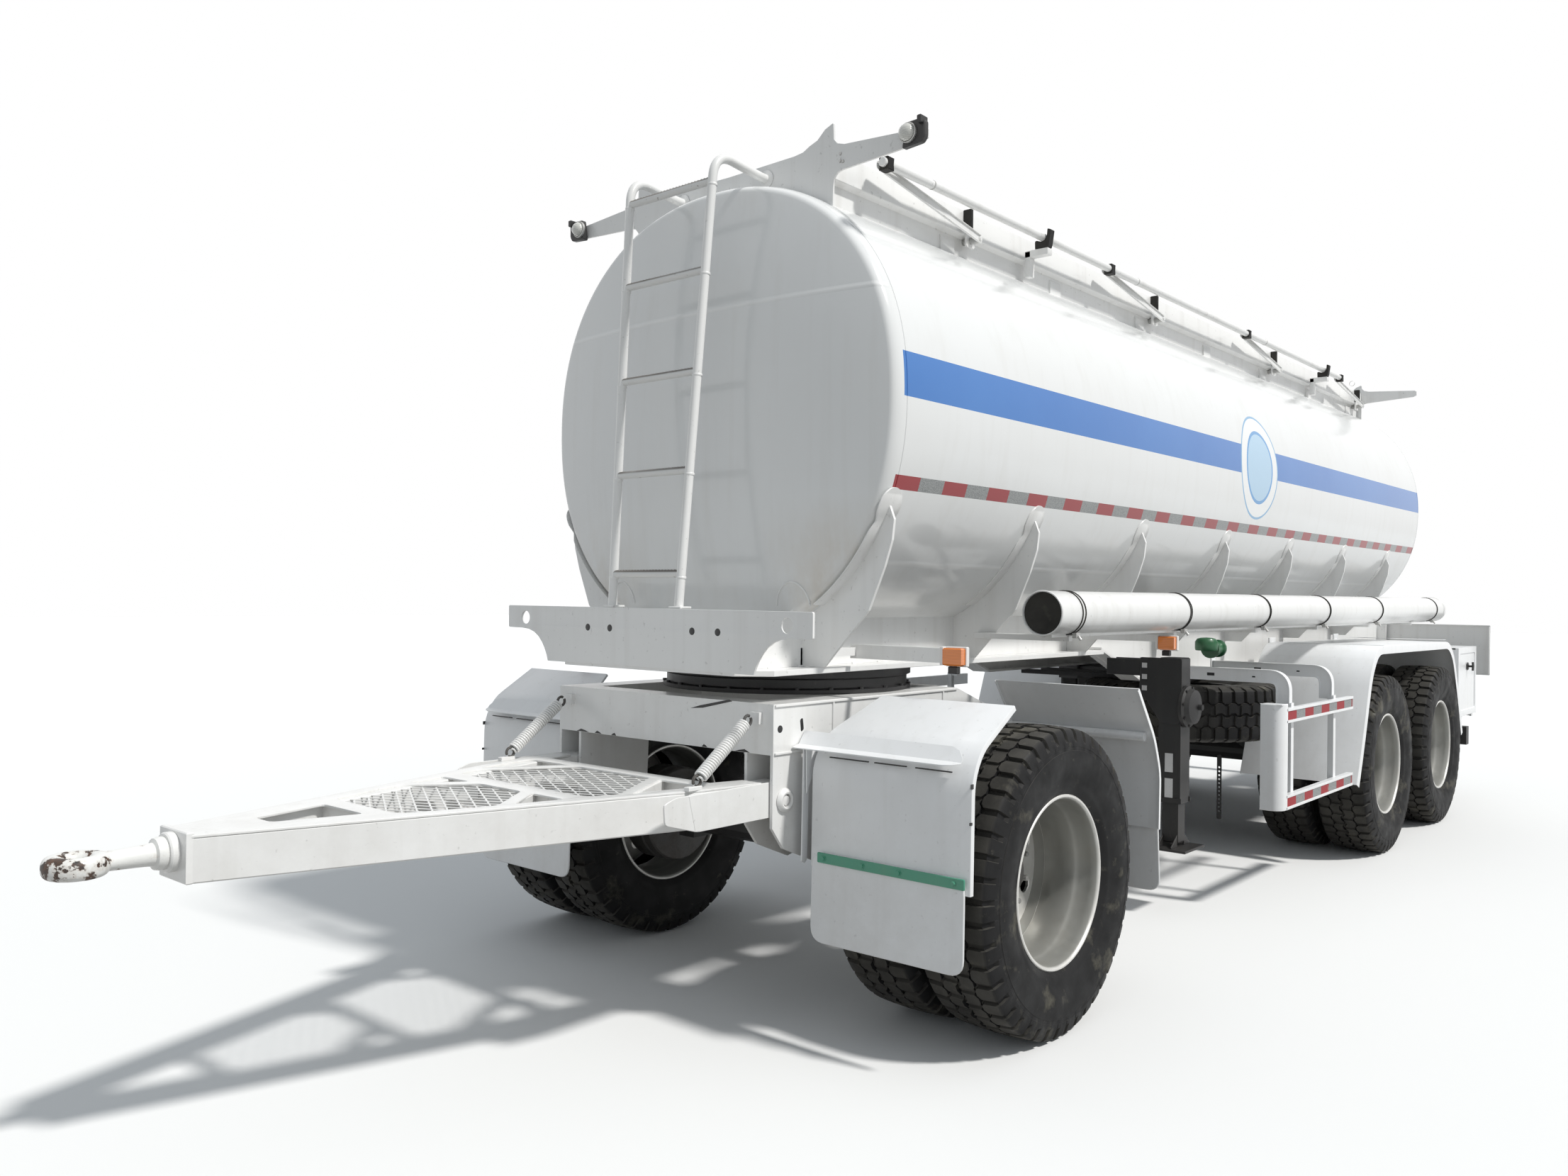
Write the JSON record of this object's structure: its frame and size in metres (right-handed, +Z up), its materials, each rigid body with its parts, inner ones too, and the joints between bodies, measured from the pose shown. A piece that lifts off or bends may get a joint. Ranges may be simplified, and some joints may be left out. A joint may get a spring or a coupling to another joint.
{
  "type": "fuel tanker trailer",
  "caption": "Drawbar tank trailer with an oval tank on a welded cradle, steered front dolly, twin wheels, ladder and folding handrail.",
  "frame": {"origin": "centre of the bounding box on the ground", "axes": "+X forwards along the drawbar, +Y to the trailer's left, +Z up"},
  "size_m": [9.716, 2.55, 3.195],
  "materials": {
    "tank_paint": "gloss",
    "white_paint": "semi-gloss",
    "black_paint": "satin",
    "tyre": "matt",
    "rim_silver": "satin",
    "aluminium": "satin",
    "forged_steel": "matt"
  },
  "bodies": {
    "chassis": {"tank": "tank_paint", "rail_left": "white_paint", "rail_right": "white_paint", "frame_front": "white_paint", "bogie_frame": "black_paint", "rear_board": "white_paint", "rear_bumper": "black_paint", "top_frame": "white_paint", "manhole_1": "aluminium", "manhole_2": "aluminium", "ladder": "white_paint", "hose_tube": "white_paint", "landing_leg_left": "black_paint", "landing_leg_right": "black_paint", "side_guard_left": "white_paint", "side_guard_right": "white_paint", "rear_mudguard_left": "white_paint", "rear_mudguard_right": "white_paint", "spare_tyre": "tyre", "spare_carrier": "black_paint", "axle_middle": "black_paint", "axle_rear": "black_paint", "toolbox": "white_paint"},
    "dolly": {"turntable_ring": "black_paint", "dolly_frame": "white_paint", "axle_front": "black_paint", "mudguard_front_left": "white_paint", "mudguard_front_right": "white_paint", "mudguard_mid_left": "white_paint", "mudguard_mid_right": "white_paint"},
    "drawbar": {"drawbar_frame": "white_paint", "tow_eye": "forged_steel", "drawbar_spring_left": "white_paint", "drawbar_spring_right": "white_paint"},
    "manhole_lid_1": {"manhole_lid_1": "aluminium"},
    "manhole_lid_2": {"manhole_lid_2": "aluminium"},
    "toolbox_door": {"toolbox_door": "white_paint"},
    "handrail_bar": {"handrail_bar": "white_paint"},
    "handrail_post_1": {"handrail_post_1": "white_paint"},
    "handrail_post_2": {"handrail_post_2": "white_paint"},
    "handrail_post_3": {"handrail_post_3": "white_paint"},
    "handrail_post_4": {"handrail_post_4": "white_paint"},
    "wheel_front_left": {"tyre_front_left_outer": "tyre", "tyre_front_left_inner": "tyre", "rim_front_left": "rim_silver"},
    "wheel_front_right": {"tyre_front_right_outer": "tyre", "tyre_front_right_inner": "tyre", "rim_front_right": "rim_silver"},
    "wheel_middle_left": {"tyre_middle_left_outer": "tyre", "tyre_middle_left_inner": "tyre", "rim_middle_left": "rim_silver"},
    "wheel_middle_right": {"tyre_middle_right_outer": "tyre", "tyre_middle_right_inner": "tyre", "rim_middle_right": "rim_silver"},
    "wheel_rear_left": {"tyre_rear_left_outer": "tyre", "tyre_rear_left_inner": "tyre", "rim_rear_left": "rim_silver"},
    "wheel_rear_right": {"tyre_rear_right_outer": "tyre", "tyre_rear_right_inner": "tyre", "rim_rear_right": "rim_silver"}
  },
  "joints": [
    {"name": "dolly_steer", "type": "hinge", "parent": "chassis", "child": "dolly", "pos_m": [2.142, 0, 1.18], "axis": [0, 0, 1], "range_deg": [-90, 90]},
    {"name": "drawbar_lift", "type": "hinge", "parent": "dolly", "child": "drawbar", "pos_m": [2.801, 0, 0.812], "axis": [0, -1, 0], "range_deg": [-20, 35], "stiffness_Nm_per_rad": 320, "springref_deg": 25.87, "deforming": ["drawbar_spring_left", "drawbar_spring_right"]},
    {"name": "roll_front_left", "type": "hinge", "parent": "dolly", "child": "wheel_front_left", "pos_m": [2.142, 1, 0.53], "axis": [0, 1, 0], "continuous": true},
    {"name": "roll_front_right", "type": "hinge", "parent": "dolly", "child": "wheel_front_right", "pos_m": [2.142, -1, 0.53], "axis": [0, 1, 0], "continuous": true},
    {"name": "roll_middle_left", "type": "hinge", "parent": "chassis", "child": "wheel_middle_left", "pos_m": [-1.928, 1, 0.53], "axis": [0, 1, 0], "continuous": true},
    {"name": "roll_middle_right", "type": "hinge", "parent": "chassis", "child": "wheel_middle_right", "pos_m": [-1.928, -1, 0.53], "axis": [0, 1, 0], "continuous": true},
    {"name": "roll_rear_left", "type": "hinge", "parent": "chassis", "child": "wheel_rear_left", "pos_m": [-3.248, 1, 0.53], "axis": [0, 1, 0], "continuous": true},
    {"name": "roll_rear_right", "type": "hinge", "parent": "chassis", "child": "wheel_rear_right", "pos_m": [-3.248, -1, 0.53], "axis": [0, 1, 0], "continuous": true},
    {"name": "manhole_lid_1_hinge", "type": "hinge", "parent": "chassis", "child": "manhole_lid_1", "pos_m": [0.127, 0, 3.112], "axis": [0, -1, 0], "range_deg": [0, 100]},
    {"name": "manhole_lid_2_hinge", "type": "hinge", "parent": "chassis", "child": "manhole_lid_2", "pos_m": [-2.473, 0, 3.112], "axis": [0, -1, 0], "range_deg": [0, 100]},
    {"name": "toolbox_door_hinge", "type": "hinge", "parent": "chassis", "child": "toolbox_door", "pos_m": [-4.338, 1.181, 0.637], "axis": [-1, 0, 0], "range_deg": [0, 110]},
    {"name": "handrail_fold_1", "type": "hinge", "parent": "chassis", "child": "handrail_post_1", "pos_m": [1.602, 0.565, 2.98], "axis": [0, -1, 0], "range_deg": [0, 81]},
    {"name": "handrail_fold_2", "type": "hinge", "parent": "chassis", "child": "handrail_post_2", "pos_m": [-0.228, 0.565, 2.98], "axis": [0, -1, 0], "range_deg": [0, 81]},
    {"name": "handrail_fold_3", "type": "hinge", "parent": "chassis", "child": "handrail_post_3", "pos_m": [-2.058, 0.565, 2.98], "axis": [0, -1, 0], "range_deg": [0, 81]},
    {"name": "handrail_fold_4", "type": "hinge", "parent": "chassis", "child": "handrail_post_4", "pos_m": [-3.888, 0.565, 2.98], "axis": [0, -1, 0], "range_deg": [0, 81]},
    {"name": "handrail_bar_level", "type": "hinge", "parent": "handrail_post_3", "child": "handrail_bar", "pos_m": [-1.358, 0.58, 3.09], "axis": [0, -1, 0], "range_deg": [-81, 0]}
  ],
  "couplings": [
    {"joint": "handrail_fold_1", "follows": "handrail_fold_3", "ratio": 1},
    {"joint": "handrail_fold_2", "follows": "handrail_fold_3", "ratio": 1},
    {"joint": "handrail_fold_4", "follows": "handrail_fold_3", "ratio": 1},
    {"joint": "handrail_bar_level", "follows": "handrail_fold_3", "ratio": -1}
  ]
}
